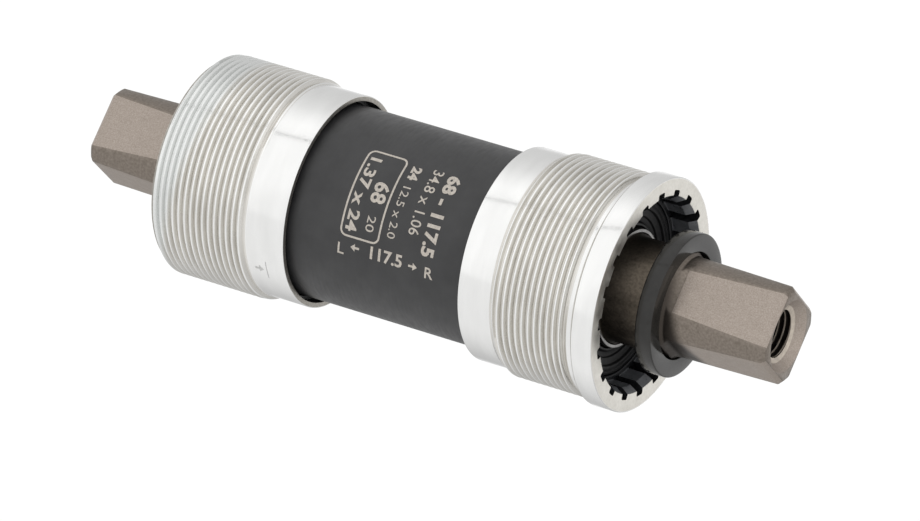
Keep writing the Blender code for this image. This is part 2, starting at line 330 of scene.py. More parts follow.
def vary_roughness(material, factor, low, high):
    spread = add_node(material, "MapRange")
    spread.inputs["From Min"].default_value = NOISE_LOW
    spread.inputs["From Max"].default_value = NOISE_HIGH
    spread.inputs["To Min"].default_value = low
    spread.inputs["To Max"].default_value = high
    shader = material.node_tree.nodes["Principled BSDF"]
    material.node_tree.links.new(factor, spread.inputs["Value"])
    material.node_tree.links.new(spread.outputs["Result"], shader.inputs["Roughness"])


def add_bump(material, factor, strength, depth_mm):
    """Bump from a factor, on top of any bump that the material already has."""
    links = material.node_tree.links
    normal = material.node_tree.nodes["Principled BSDF"].inputs["Normal"]
    bump = add_node(material, "Bump")
    bump.inputs["Strength"].default_value = strength
    bump.inputs["Distance"].default_value = depth_mm * MM
    if normal.is_linked:
        links.new(normal.links[0].from_socket, bump.inputs["Normal"])
    links.new(factor, bump.inputs["Height"])
    links.new(bump.outputs["Normal"], normal)


def bare_aluminium():
    """Bright turned metal, nearly smooth, with faint lines round the axis."""
    material = new_material("turned_aluminium", (0.82, 0.82, 0.81), 0.16, 1.0)
    vary_colour(material, grain(material, 500, 3, across=120), (0.80, 0.80, 0.79), (0.85, 0.85, 0.84))
    vary_roughness(material, grain(material, 1500, 2, across=100), 0.13, 0.2)
    add_bump(material, grain(material, 6000, 1, across=60), 0.1, 0.002)
    return material


def faced_aluminium():
    """The flange's faced end: duller, speckled, with rings left by the tool."""
    material = new_material("faced_aluminium", (0.72, 0.70, 0.65), 0.4, 1.0)
    vary_colour(material, grain(material, 2600, 3), (0.67, 0.65, 0.60), (0.75, 0.73, 0.68))
    vary_roughness(material, grain(material, 500, 3), 0.34, 0.48)
    add_bump(material, ring_grain(material, 5000), 0.3, 0.006)
    return material


def black_anodise():
    material = new_material("black_anodise", (0.010, 0.0105, 0.012), 0.34, 0.0, Specular_IOR_Level=0.3)
    vary_colour(material, grain(material, 700, 3), (0.006, 0.006, 0.007), (0.016, 0.017, 0.019))
    vary_roughness(material, grain(material, 1500, 2), 0.26, 0.42)
    add_bump(material, grain(material, 6000, 1), 0.15, 0.005)
    return material


def anodise_painted_sheen():
    """The lands of the splines and the chamfer at their mouth: the black lightened to a bluish grey, a
    painted sheen that stands for their reflections.
    """
    material = new_material("anodise_painted_sheen", (0.085, 0.089, 0.097), 0.3, 0.0)
    vary_colour(material, grain(material, 900, 3), (0.068, 0.072, 0.08), (0.105, 0.11, 0.12))
    vary_roughness(material, grain(material, 1500, 2), 0.26, 0.4)
    return material


def dull_rim_and_painted_shadow():
    """Narrow edges that the lathe left dull, and a painted shadow line round the drive cup's flange where
    it meets its seat.
    """
    material = new_material("dull_rim_and_painted_shadow", (0.36, 0.345, 0.31), 0.45, 1.0)
    vary_colour(material, grain(material, 1800, 3), (0.28, 0.265, 0.235), (0.44, 0.42, 0.385))
    return material


def thread_metal(name, dark, light, roughness):
    """Thread metal, with a little dirt and a grain along the cut, and a painted highlight that whitens it
    near the left adapter's outer end.
    """
    material = new_material(name, light, roughness, 1.0)
    vary_colour(material, grain(material, 700, 4, across=160), dark, light, 0.35, 0.65)
    vary_roughness(material, grain(material, 1500, 2, across=150), roughness - 0.05, roughness + 0.05)
    add_bump(material, grain(material, 3000, 2, across=200), 0.1, 0.004)
    # Painted highlight: the thread turns pale grey towards the left adapter's outer end
    blend_near(material, (0.75, 0.76, 0.75), *PAINTED_GLARE_END)
    return material


def blend_near(material, colour, lean, centre, whole, gone):
    """Blend the colour to another near a station, which leans by so many mm per mm of height.

    The other colour is whole up to one distance from the station and gone past a second one.
    """
    links = material.node_tree.links
    shader = material.node_tree.nodes["Principled BSDF"]
    place = add_node(material, "TexCoord")
    slant = add_node(material, "VectorMath", operation="DOT_PRODUCT")
    slant.inputs[1].default_value = (1, 0, lean)
    offset = add_node(material, "Math", operation="SUBTRACT")
    offset.inputs[1].default_value = centre * MM
    distance = add_node(material, "Math", operation="ABSOLUTE")
    fade = add_node(material, "MapRange", interpolation_type="SMOOTHSTEP")
    fade.inputs["From Min"].default_value = gone * MM
    fade.inputs["From Max"].default_value = whole * MM
    # A colour Mix node keeps its factor, two colours and result at sockets 0, 6, 7 and 2
    blend = add_node(material, "Mix", data_type="RGBA")
    blend.inputs[7].default_value = (*colour, 1)
    links.new(place.outputs["Object"], slant.inputs[0])
    links.new(slant.outputs["Value"], offset.inputs[0])
    links.new(offset.outputs["Value"], distance.inputs[0])
    links.new(distance.outputs["Value"], fade.inputs["Value"])
    links.new(fade.outputs["Result"], blend.inputs[0])
    links.new(shader.inputs["Base Color"].links[0].from_socket, blend.inputs[6])
    links.new(blend.outputs[2], shader.inputs["Base Color"])


def cup_materials():
    return [bare_aluminium(), faced_aluminium(), black_anodise(),
            thread_metal("thread_valley", (0.60, 0.58, 0.54), (0.68, 0.66, 0.62), 0.3),
            thread_metal("thread_flank", (0.66, 0.645, 0.61), (0.74, 0.725, 0.69), 0.25),
            thread_metal("thread_crest", (0.81, 0.81, 0.80), (0.87, 0.87, 0.86), 0.18),
            anodise_painted_sheen(), dull_rim_and_painted_shadow()]


def spindle_steel():
    """Brown-grey blasted steel."""
    material = new_material("blasted_steel", (0.36, 0.31, 0.27), 0.42, 0.9)
    vary_colour(material, grain(material, 5200, 4), (0.28, 0.235, 0.20),
                (0.43, 0.375, 0.33), 0.25, 0.75)
    vary_roughness(material, grain(material, 900, 3), 0.36, 0.48)
    add_bump(material, grain(material, 6500, 3), 0.35, 0.014)
    blend_near(material, SHADED_STEEL, *COLLAR_SHADE)
    return material


def turned_steel():
    """The square's corners, run-out and end face, left darker by the lathe."""
    material = new_material("turned_brown_steel", (0.21, 0.18, 0.155), 0.36, 0.95)
    vary_colour(material, grain(material, 2600, 4), (0.17, 0.145, 0.12), (0.25, 0.215, 0.185))
    vary_roughness(material, grain(material, 900, 3), 0.3, 0.44)
    add_bump(material, grain(material, 7000, 3, across=3000), 0.3, 0.008)
    blend_near(material, SHADED_STEEL, *COLLAR_SHADE)
    return material


def barrel_steel():
    """The ground round part between the bearing and the collar, glossier than the square."""
    material = new_material("ground_brown_steel", (0.10, 0.084, 0.066), 0.32, 1.0)
    vary_colour(material, grain(material, 2600, 3), (0.08, 0.067, 0.053), (0.125, 0.105, 0.083))
    vary_roughness(material, grain(material, 900, 2), 0.28, 0.36)
    return material


def bore_steel():
    """The inner edges of the bolt hole's thread, and its mouth."""
    material = new_material("cut_steel", (0.52, 0.46, 0.39), 0.35, 0.4)
    vary_colour(material, grain(material, 3000, 3, across=1200), (0.44, 0.39, 0.33), (0.60, 0.53, 0.45))
    add_bump(material, grain(material, 9000, 2, across=400), 0.3, 0.008)
    return material


def bolt_hole_painted_shade():
    """The bottom of the bolt hole's thread, painted near black as painted shade inside the hole."""
    material = new_material("bolt_hole_painted_shade", (0.05, 0.043, 0.036), 0.3, 0.9)
    vary_colour(material, grain(material, 3000, 3, across=1200), (0.035, 0.03, 0.025), (0.07, 0.06, 0.05))
    return material


def black_coat():
    """Satin black coat of the tube."""
    material = new_material("satin_black", (0.024, 0.024, 0.025), 0.42, 0.0)
    vary_colour(material, grain(material, 260, 5), (0.019, 0.019, 0.020), (0.030, 0.030, 0.031))
    vary_roughness(material, grain(material, 2400, 3, across=500), 0.36, 0.48)
    add_bump(material, grain(material, 7000, 2, across=2500), 0.2, 0.006)
    return material


def etched_mark():
    material = new_material("etched_mark", (0.46, 0.42, 0.37), 0.6, 0.0)
    vary_colour(material, grain(material, 4000, 2), (0.38, 0.345, 0.305), (0.53, 0.485, 0.43))
    return material


def engraved_mark():
    """A faint grey mark in the bare metal."""
    material = new_material("engraved_mark", (0.60, 0.60, 0.59), 0.5, 1.0)
    vary_colour(material, grain(material, 3000, 2), (0.52, 0.52, 0.51), (0.66, 0.66, 0.65))
    return material


def gloss_black():
    """Moulded ring on the spindle, nearly glossy."""
    material = new_material("moulded_black", (0.02, 0.019, 0.018), 0.12, 0.0, Specular_IOR_Level=0.36)
    vary_colour(material, grain(material, 400, 3), (0.015, 0.014, 0.013), (0.025, 0.024, 0.022))
    vary_roughness(material, grain(material, 900, 3), 0.09, 0.18)
    add_bump(material, grain(material, 2600, 2), 0.04, 0.004)
    return material


def seal_rubber():
    material = new_material("seal_rubber", (0.008, 0.008, 0.009), 0.4, 0.0, Specular_IOR_Level=0.2)
    vary_colour(material, grain(material, 900, 3), (0.005, 0.005, 0.005), (0.013, 0.013, 0.014))
    add_bump(material, grain(material, 5000, 2), 0.2, 0.008)
    return material


def bearing_steel():
    material = new_material("ground_steel", (0.66, 0.66, 0.67), 0.16, 1.0)
    vary_roughness(material, grain(material, 8000, 2, across=300), 0.1, 0.24)
    vary_colour(material, grain(material, 600, 2), (0.58, 0.58, 0.59), (0.70, 0.70, 0.71))
    return material


def race_steel():
    """The inner rings, which are darker than the balls."""
    material = new_material("dark_race_steel", (0.24, 0.235, 0.23), 0.22, 1.0)
    vary_roughness(material, grain(material, 6000, 2, across=300), 0.18, 0.3)
    vary_colour(material, grain(material, 600, 2), (0.19, 0.185, 0.18), (0.28, 0.275, 0.27))
    return material


def cage_resin():
    material = new_material("cage_resin", (0.35, 0.27, 0.17), 0.45, 0.0)
    vary_colour(material, grain(material, 1200, 3, across=300), (0.27, 0.20, 0.12), (0.40, 0.32, 0.21))
    add_bump(material, grain(material, 4000, 2), 0.2, 0.01)
    return material


# ---------------------------------------------------------------- mesh tools

def spot(station, radius, angle):
    return Vector((station, radius * math.cos(angle), radius * math.sin(angle))) * MM


def even_angles(steps):
    return [math.tau * step / steps for step in range(steps)]


def circle(form, angles, station, radius):
    return [form.verts.new(spot(station, radius, angle)) for angle in angles]


def add_face(form, corners, slot):
    """A face from its corners, leaving out any that come twice."""
    distinct = [corner for index, corner in enumerate(corners) if corner is not corners[index - 1]]
    if len(distinct) > 2:
        face = form.faces.new(distinct)
        face.material_index = slot
        face.smooth = True


def bridge(form, first, second, slot):
    for index in range(len(first)):
        add_face(form, (first[index - 1], second[index - 1], second[index], first[index]), slot)


def smooth_step(value):
    value = max(0.0, min(1.0, value))
    return value * value * (3 - 2 * value)


def cut_thread(form, angles, top, bottom, fades, shape):
    """A helical thread between two rings of points, each given with its station.

    Its crest rises and dies away over the two fade lengths. shape is (pitch, root radius,
    crest radius, hand). Where a row of the helix passes a ring, it takes that ring's points.
    """
    (top_ring, top_station), (bottom_ring, bottom_station) = top, bottom
    pitch, root, crest, hand = shape
    rows = len(THREAD_FORM)
    turns = math.ceil((top_station - bottom_station) / pitch) + 1
    close = 0.02
    made = {}

    def point(row, column):
        if column == len(angles):
            return point(row - hand * rows, 0)
        part, height = THREAD_FORM[row % rows]
        turn = (angles[column] - angles[0]) / math.tau
        lead = turn if hand == RIGHT_HAND else 1 - turn
        station = top_station + pitch * (lead - row // rows - part)
        if station > top_station - close:
            return top_ring[column]
        if station < bottom_station + close:
            return bottom_ring[column]
        if (row, column) not in made:
            fade = smooth_step((top_station - station) / fades[0])
            fade *= smooth_step((station - bottom_station) / fades[1])
            radius = root + (crest - root) * height * fade
            made[row, column] = form.verts.new(spot(station, radius, angles[column]))
        return made[row, column]

    for row in range(turns * rows):
        for column in range(len(angles)):
            corners = (point(row, column), point(row + 1, column),
                       point(row + 1, column + 1), point(row, column + 1))
            add_face(form, corners, THREAD_SLOTS[row % rows])


def softened(outline):
    """Round each corner of (station, radius, round, slot) by its own small amount."""
    points = []
    for index, (station, radius, size, slot) in enumerate(outline):
        corner = Vector((station, radius))
        if not size:
            points.append((station, radius, slot))
            continue
        start = corner + (Vector(outline[index - 1][:2]) - corner).normalized() * size
        after = Vector(outline[(index + 1) % len(outline)][:2])
        end = corner + (after - corner).normalized() * size
        for part in (0, 1 / 3, 2 / 3, 1):
            bend = start * (1 - part) ** 2 + corner * 2 * part * (1 - part) + end * part ** 2
            points.append((bend.x, bend.y, slot))
    return points


def finish_piece(name, form, materials):
    """Make an object from a closed bmesh, with its faces pointing out and its edges sharp."""
    bmesh.ops.recalc_face_normals(form, faces=form.faces)
    mesh = bpy.data.meshes.new(name)
    form.to_mesh(mesh)
    form.free()
    for material in materials:
        mesh.materials.append(material)
    mesh.set_sharp_from_angle(angle=SHARP_ANGLE)
    piece = bpy.data.objects.new(name, mesh)
    bpy.context.scene.collection.objects.link(piece)
    return piece


def turn(name, outline, materials, steps=STEPS, fades=None, hand=None):
    """Turn an outline of (station, radius, round, slot); slot says what the next stretch is."""
    angles = even_angles(steps)
    form = bmesh.new()
    points = softened(outline)
    rings = [circle(form, angles, station, radius) for station, radius, slot in points]
    for index, (station, radius, slot) in enumerate(points):
        after = (index + 1) % len(points)
        if slot == THREAD:
            cut_thread(form, angles, (rings[index], station), (rings[after], points[after][0]),
                       fades, (PITCH, ROOT_R, CREST_R, hand))
        else:
            bridge(form, rings[index], rings[after], slot)
    return finish_piece(name, form, materials)


def mirrored(outline):
    """The same outline for the left end."""
    turned_over = list(reversed(outline))
    return [(-station - MIRROR_SHIFT, radius, size, turned_over[(index + 1) % len(outline)][3])
            for index, (station, radius, size, slot) in enumerate(turned_over)]


def apply_modifiers(piece):
    graph = bpy.context.evaluated_depsgraph_get()
    mesh = bpy.data.meshes.new_from_object(piece.evaluated_get(graph))
    piece.modifiers.clear()
    piece.data = mesh


def subtract(piece, cutter):
    """Cut a piece with a cutter, whose material lines the cut, and drop the cutter."""
    boolean = piece.modifiers.new("cut", "BOOLEAN")
    boolean.operation = "DIFFERENCE"
    boolean.solver = "EXACT"
    boolean.material_mode = "TRANSFER"
    boolean.object = cutter
    apply_modifiers(piece)
    bpy.data.objects.remove(cutter, do_unlink=True)
    piece.data.shade_smooth()
    piece.data.set_sharp_from_angle(angle=SHARP_ANGLE)


def dress(piece, node, body, slot):
    """A piece that stands for one CAD node, on that node's body."""
    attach(piece, body)
    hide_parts(node)


# ---------------------------------------------------------------- cups

def groove_cutter(floor, face, lining):
    """Blocks with rounded corners, one for each tool groove, from floor to past the face."""
    inner = CUTTER_INNER_R
    middle_r = (GROOVE_R + inner) / 2
    past = face + math.copysign(CUTTER_PAST_FACE, face - floor)
    form = bmesh.new()
    size = Matrix.Diagonal((abs(past - floor) * MM, (GROOVE_R - inner) * MM, GROOVE_WIDTH * MM, 1))
    centre = Matrix.Translation(((past + floor) / 2 * MM, middle_r * MM, 0))
    for groove in range(SPLINES):
        swing = Matrix.Rotation(SPLINE_PHASE + groove * math.tau / SPLINES, 4, "X")
        bmesh.ops.create_cube(form, size=1, matrix=swing @ centre @ size)
    along = [edge for edge in form.edges
             if abs(edge.verts[0].co.x - edge.verts[1].co.x) > MM]
    outer = [edge for edge in along if edge.verts[0].co.yz.length > middle_r * MM]
    bmesh.ops.bevel(form, geom=outer, offset=GROOVE_CORNER * MM, segments=3, profile=0.5,
                    affect="EDGES")
    return finish_piece("groove_cutter", form, [lining])


def make_drive_cup(materials):
    inner_end, face = span("drive_cup")
    flange_r = radius_of("drive_cup")
    seat = face - FLANGE_WIDTH
    ledge = face - SPLINE_DEPTH
    thread_top = face - DRIVE_THREAD_DEPTH
    thread_bottom = inner_end + DRIVE_PLAIN_LENGTH
    outline = [(face, MOUTH_R, 0.06, FACE), (face, flange_r, 0.2, BARE),
               # The rim slot at the flange's seat-side edge is a painted shadow line where the flange
               # meets the seat
               (seat, flange_r, 0.12, DULL_RIM_AND_SHADOW), (seat, SEAT_INNER_R, 0.1, BARE),
               (seat - SEAT_FILLET, ROOT_R, 0.2, BARE),
               (thread_top, ROOT_R, 0, THREAD), (thread_bottom, ROOT_R, 0, BARE),
               (thread_bottom - PLAIN_STEP, PLAIN_R, 0, BARE), (inner_end, PLAIN_R, 0.14, BARE),
               (inner_end, DRIVE_BORE_R, 0.05, BLACK), (BEARING_STOP, DRIVE_BORE_R, 0, BLACK),
               (BEARING_STOP, LEDGE_R, 0.1, BLACK), (ledge, LEDGE_R, 0.18, BLACK),
               (ledge, LAND_R, 0.1, EDGE), (face - MOUTH_CHAMFER, LAND_R, 0.08, EDGE)]
    cup = turn("drive_cup_machined", outline, materials, fades=(OUTER_FADE, INNER_FADE),
               hand=LEFT_HAND)
    subtract(cup, groove_cutter(ledge - CUTTER_FLOOR, face, materials[BLACK]))
    dress(cup, "drive_cup", "cartridge", "cup_aluminium")


def make_left_adapter(materials):
    outer_end, lip = span("left_adapter")
    ledge = outer_end + SPLINE_DEPTH
    plain_end = lip - LEFT_PLAIN_LENGTH
    outline = [(lip, LIP_R, 0.06, DULL_RIM_AND_SHADOW), (lip, PLAIN_R, 0.14, BARE),
               (plain_end, PLAIN_R, 0, BARE), (plain_end - PLAIN_STEP, ROOT_R, 0, THREAD),
               (outer_end + LEFT_CHAMFER, ROOT_R, 0, DULL_RIM_AND_SHADOW), (outer_end, LEFT_CHAMFER_R, 0.08, FACE),
               (outer_end, MOUTH_R, 0.06, EDGE), (outer_end + MOUTH_CHAMFER, LAND_R, 0.08, EDGE),
               (ledge, LAND_R, 0.1, BLACK), (ledge, LEDGE_R, 0.18, BLACK),
               (outer_end + LEFT_WALL, LEDGE_R, 0.1, BLACK),
               (outer_end + LEFT_WALL, LEFT_BORE_R, 0, BLACK),
               (lip - LIP_DEPTH, LEFT_BORE_R, 0.08, BLACK), (lip - LIP_DEPTH, LIP_R, 0.05, BLACK)]
    adapter = turn("left_adapter_machined", outline, materials, fades=(INNER_FADE, OUTER_FADE),
                   hand=RIGHT_HAND)
    subtract(adapter, groove_cutter(ledge + CUTTER_FLOOR, outer_end, materials[BLACK]))
    dress(adapter, "left_adapter", "left_adapter", "cup_aluminium")


# ---------------------------------------------------------------- spindle

def section(form, station, half_width, corner_r):
    """A ring of the spindle: four flats at half_width that cut a bar of radius corner_r."""
    reach = ROUND_REACH
    if half_width is not None:
        reach = max(math.acos(min(1, half_width / corner_r)), LEAST_REACH)
    ring = []
    for flat in range(4):
        middle = FLAT_PHASE + flat * math.pi / 2
        for cut in range(FLAT_CUTS + 1):
            lean = (reach - EDGE_BREAK) * (2 * cut / FLAT_CUTS - 1)
            radius = corner_r
            if half_width is not None:
                radius = min(corner_r, half_width / math.cos(lean))
            ring.append(form.verts.new(spot(station, radius, middle + lean)))
        corner = math.pi / 2 - 2 * (reach + EDGE_BREAK)
        for cut in range(CORNER_CUTS + 1):
            lean = reach + EDGE_BREAK + corner * cut / CORNER_CUTS
            ring.append(form.verts.new(spot(station, corner_r, middle + lean)))
    return ring


def section_angles():
    """Where the points of a round section lie."""
    angles = []
    for flat in range(4):
        middle = FLAT_PHASE + flat * math.pi / 2
        angles += [middle + (ROUND_REACH - EDGE_BREAK) * (2 * cut / FLAT_CUTS - 1)
                   for cut in range(FLAT_CUTS + 1)]
        corner = math.pi / 2 - 2 * (ROUND_REACH + EDGE_BREAK)
        angles += [middle + ROUND_REACH + EDGE_BREAK + corner * cut / CORNER_CUTS
                   for cut in range(CORNER_CUTS + 1)]
    return angles


def beside(edge, difference):
    return tuple(size + change for size, change in zip(edge, difference))


def square_rings(end):
    """(distance from the middle, half width, corner radius) from a square's end to the barrel."""
    front = (end, FLAT_HALF_WIDTH - END_BEVEL, CORNER_R - END_BEVEL)
    back = (end - END_BEVEL, FLAT_HALF_WIDTH, CORNER_R)
    rings = [front, beside(front, FRONT_SOFTENING), beside(back, BACK_SOFTENING)]
    stations = [end - END_BEVEL - BACK_EDGE]
    stations += [end - SQUARE_STEP * step for step in range(1, SQUARE_STEPS + 1)]
    stations += [RUN_OUT_START - RUN_OUT_STEP * step for step in range(RUN_OUT_RINGS)]
    for station in stations:
        half_width = FLAT_HALF_WIDTH + (end - station) * FLAT_TAPER
        past = max(0, RUN_OUT_START - station)
        half_width += RUN_OUT_ROUND - math.sqrt(RUN_OUT_ROUND ** 2 - past ** 2)
        swell = smooth_step((BARREL_START - station) / BARREL_SWELL)
        rings.append((station, half_width, CORNER_R + (BARREL_R - CORNER_R) * swell))
    return rings


def bridge_square(form, first, second):
    """Join two sections, with the flats in one material and the corners in another."""
    quarter = len(first) // 4
    in_run_out = abs(first[0].co.x + second[0].co.x) / 2 < RUN_OUT_START * MM
    for index in range(len(first)):
        corners = (first[index - 1], second[index - 1], second[index], first[index])
        on_flat = 0 < index % quarter <= FLAT_CUTS
        add_face(form, corners, BLASTED if on_flat and not in_run_out else TURNED)


def make_bolt_hole(form, side, end, outline):
    """Rings of a threaded bolt hole, from its bottom out to the edge of the end face."""
    angles = section_angles()
    floor = end - BOLT_HOLE_DEPTH
    tip = [form.verts.new(spot(side * (floor - DRILL_POINT), 0, 0))] * len(angles)
    bottom = circle(form, angles, side * floor, BOLT_MINOR_R)
    mouth_station = end - COUNTERSINK_DEPTH - MOUTH_DEPTH
    mouth = circle(form, angles, side * mouth_station, BOLT_MINOR_R)
    throat = circle(form, angles, side * (end - COUNTERSINK_DEPTH), THROAT_R)
    rim = circle(form, angles, side * end, COUNTERSINK_R)
    bridge(form, tip, bottom, VALLEY)
    shape = (BOLT_PITCH, BOLT_MINOR_R, BOLT_MAJOR_R, RIGHT_HAND)
    if side > 0:
        cut_thread(form, angles, (mouth, mouth_station), (bottom, floor),
                   (BOLT_MOUTH_FADE, BOLT_FLOOR_FADE), shape)
    else:
        cut_thread(form, angles, (bottom, -floor), (mouth, -mouth_station),
                   (BOLT_FLOOR_FADE, BOLT_MOUTH_FADE), shape)
    bridge(form, mouth, throat, VALLEY)
    bridge(form, throat, rim, BLASTED)
    bridge(form, rim, outline, TURNED)


def make_spindle():
    low, high = span("spindle")
    form = bmesh.new()
    drive_square = [section(form, *ring) for ring in square_rings(high)]
    middle = [section(form, station, None, radius) for station, radius in BARREL]
    middle += [section(form, -station, None, radius) for station, radius in reversed(BARREL)]
    left_square = [section(form, -station, half_width, corner_r)
                   for station, half_width, corner_r in reversed(square_rings(-low))]
    for rings in (drive_square + middle[:1], middle[-1:] + left_square):
        for first, second in zip(rings, rings[1:]):
            bridge_square(form, first, second)
    for first, second in zip(middle, middle[1:]):
        bridge(form, first, second, GROUND)
    make_bolt_hole(form, 1, high, drive_square[0])
    make_bolt_hole(form, -1, -low, left_square[-1])
    steel = spindle_steel()
    bore = bore_steel()
    hole_shade = bolt_hole_painted_shade()
    spindle = finish_piece("spindle_blasted", form,
                           [steel, barrel_steel(), turned_steel(), bore, hole_shade, hole_shade])
    dress(spindle, "spindle", "spindle", "spindle_steel")


def make_collar():
    back, front = span("spindle_collar")
    edge = radius_of("spindle_collar")
    outline = [(front, COLLAR_BORE_R, 0.12, 0), (front, edge, 0.22, 0), (back, edge, 0.22, 0),
               (back, COLLAR_BORE_R, 0.12, 0)]
    collar = turn("spindle_collar_moulded", outline, [gloss_black()], steps=COLLAR_STEPS)
    dress(collar, "spindle_collar", "spindle", "collar_rubber")


# ---------------------------------------------------------------- cartridge

def make_tube():
    left, right = span("cartridge_tube")
    edge = radius_of("cartridge_tube")
    outline = [(right, edge, 0.2, 0), (left, edge, 0.35, 0), (left, TUBE_BORE_R, 0.1, 0),
               (right, TUBE_BORE_R, 0.1, 0)]
    tube = turn("cartridge_tube_coated", outline, [black_coat()], steps=TUBE_STEPS)
    dress(tube, "cartridge_tube", "cartridge", "black_tube")


def make_spacer():
    left, right = span("bearing_spacer")
    outline = [(right, RING_OUTER_R, 0.1, 0), (left, RING_OUTER_R, 0.1, 0),
               (left, SPACER_BORE_R, 0.1, 0), (right, SPACER_BORE_R, 0.1, 0)]
    spacer = turn("bearing_spacer_turned", outline, [bare_aluminium()], steps=HIDDEN_STEPS)
    dress(spacer, "bearing_spacer", "cartridge", "spacer_aluminium")


def race(station, outwards):
    """Points of a ball groove, from its inboard edge to its outboard one."""
    land = OUTER_LAND_R if outwards > 0 else INNER_LAND_R
    half = math.acos(abs(land - PITCH_R) / RACE_ROUND)
    return [(station + RACE_ROUND * math.sin(half * step / RACE_CUTS),
             PITCH_R + outwards * RACE_ROUND * math.cos(half * step / RACE_CUTS), 0, 0)
            for step in range(-RACE_CUTS, RACE_CUTS + 1)]


def make_bearing(side, flip, steel, dark_steel, rubber):
    """Rings, seal and shield of the drive bearing, or mirrored for the left one."""
    inboard, outboard = RING_ENDS
    outer = [(outboard, RING_OUTER_R, 0.3, 0), (inboard, RING_OUTER_R, 0.3, 0),
             (inboard, OUTER_LAND_R, 0.15, 0)]
    outer += race(RACE_STATION, 1) + [(outboard, OUTER_LAND_R, 0.15, 0)]
    inner = [(NOSE_END, NOSE_R, 0.12, 0), (outboard, NOSE_R, 0, 0),
             (outboard, INNER_LAND_R, 0.15, 0)]
    inner += list(reversed(race(RACE_STATION, -1)))
    inner += [(inboard, INNER_LAND_R, 0.15, 0), (inboard, RING_BORE_R, 0.1, 0),
              (NOSE_END, RING_BORE_R, 0.08, 0)]
    seal = [(31.3, RING_OUTER_R, 0.12, 0), (29.5, RING_OUTER_R, 0.1, 0), (29.5, 9.45, 0.1, 0),
            (30.9, 9.45, 0.1, 0), (30.9, 9.85, 0.12, 0), (30.35, 10.1, 0.1, 0),
            (30.35, 10.9, 0.1, 0), (30.75, 11.0, 0.1, 0), (30.75, 12.05, 0.1, 0),
            (31.3, 12.15, 0.15, 0), (31.3, 12.75, 0.06, 0), (31.2, 12.8, 0.02, 0),
            (31.2, 12.95, 0.02, 0), (31.3, 13.0, 0.06, 0)]
    back, front = SHIELD_ENDS
    shield = [(front, SHIELD_OUTER_R, 0.05, 0), (back, SHIELD_OUTER_R, 0.05, 0),
              (back, SHIELD_INNER_R, 0.05, 0), (front, SHIELD_INNER_R, 0.05, 0)]
    for kind, outline, material, body, slot in (
            ("outer_ring", outer, steel, "cartridge", "bearing_steel"),
            ("inner_ring", inner, dark_steel, "spindle", "bearing_steel"),
            ("seal", seal, rubber, "cartridge", "seal_rubber"),
            ("shield", shield, steel, "cartridge", "bearing_steel")):
        node = f"{side}_{kind}"
        piece = turn(node + "_fine", flip(outline), [material], steps=HIDDEN_STEPS)
        dress(piece, node, body, slot)


def make_cage(side, station, resin, steel):
    """The ball cage with its round pockets, and the balls in them."""
    inboard, outboard = station - CAGE_HALF_WIDTH, station + CAGE_HALF_WIDTH
    outline = [(outboard, CAGE_OUTER_R, 0.12, 0), (inboard, CAGE_OUTER_R, 0.12, 0),
               (inboard, CAGE_INNER_R, 0.12, 0), (outboard, CAGE_INNER_R, 0.12, 0)]
    cage = turn(side + "_ball_cage_moulded", outline, [resin], steps=HIDDEN_STEPS)
    form = bmesh.new()
    stand = Matrix.Rotation(math.pi / 2, 4, "X")
    for ball in range(BALLS):
        angle = ball_angle(ball)
        place = Matrix.Translation(spot(station, PITCH_R, angle))
        swing = Matrix.Rotation(angle, 4, "X")
        bmesh.ops.create_cone(form, cap_ends=True, segments=32, radius1=POCKET_R * MM,
                              radius2=POCKET_R * MM, depth=POCKET_DEPTH * MM,
                              matrix=place @ swing @ stand)
    subtract(cage, finish_piece("pocket_cutter", form, [resin]))
    dress(cage, side + "_ball_cage", side + "_cage", "cage_resin")
    for ball in range(BALLS):
        form = bmesh.new()
        place = Matrix.Translation(spot(station, PITCH_R, ball_angle(ball)))
        bmesh.ops.create_uvsphere(form, u_segments=24, v_segments=16, radius=BALL_R * MM,
                                  matrix=place)
        for face in form.faces:
            face.smooth = True
        node = f"{side}_ball_{ball + 1:02d}"
        piece = finish_piece(node + "_polished", form, [steel])
        dress(piece, node, side + "_cage", "bearing_steel")


def ball_angle(ball):
    """Ball 0 hangs straight down, and the rest follow it round."""
    return ball * math.tau / BALLS - math.pi / 2


# ---------------------------------------------------------------- marks

def mark_piece(name, form, material, radius=MARK_R, body="cartridge"):
    """Lay flat marks, drawn as (along X, angle round the axis times MARK_R), on a round wall."""
    for vertex in form.verts:
        along, around, height = vertex.co
        vertex.co = spot(along, radius + height, around / MARK_R)
    mark = finish_piece(name, form, [material])
    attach(mark, body)


def draw_strip(form, path, width, closed=False):
    """A thin flat band along a path of (along, around) points."""
    points = [Vector(point) for point in path]
    count = len(points)
    sides = []
    for index, point in enumerate(points):
        before = points[index - 1] if closed or index else point
        after = points[(index + 1) % count] if closed or index + 1 < count else point
        heading = (after - before).normalized()
        normal = Vector((-heading.y, heading.x)) * width / 2
        sides.append([form.verts.new((*(point + normal * sign), height))
                      for height in (0, MARK_THICKNESS) for sign in (1, -1)])
    pairs = list(zip(sides, sides[1:]))
    if closed:
        pairs.append((sides[-1], sides[0]))
    for here, there in pairs:
        for first, second in ((0, 1), (1, 3), (3, 2), (2, 0)):
            form.faces.new((here[first], here[second], there[second], there[first]))
    if not closed:
        for end in (sides[0], sides[-1]):
            form.faces.new((end[0], end[1], end[3], end[2]))


def arc_points(centre, radius, start, stop, cuts=6):
    return [(centre[0] + radius * math.cos(start + (stop - start) * cut / cuts),
             centre[1] + radius * math.sin(start + (stop - start) * cut / cuts))
            for cut in range(cuts + 1)]


def arc_length(degrees):
    """How far round the tube an angle lies."""
    return math.radians(degrees) * MARK_R


def straight(start, end, cuts=24):
    """Points between two others."""
    return [(start[0] + (end[0] - start[0]) * cut / cuts,
             start[1] + (end[1] - start[1]) * cut / cuts)
            for cut in range(1, cuts)]


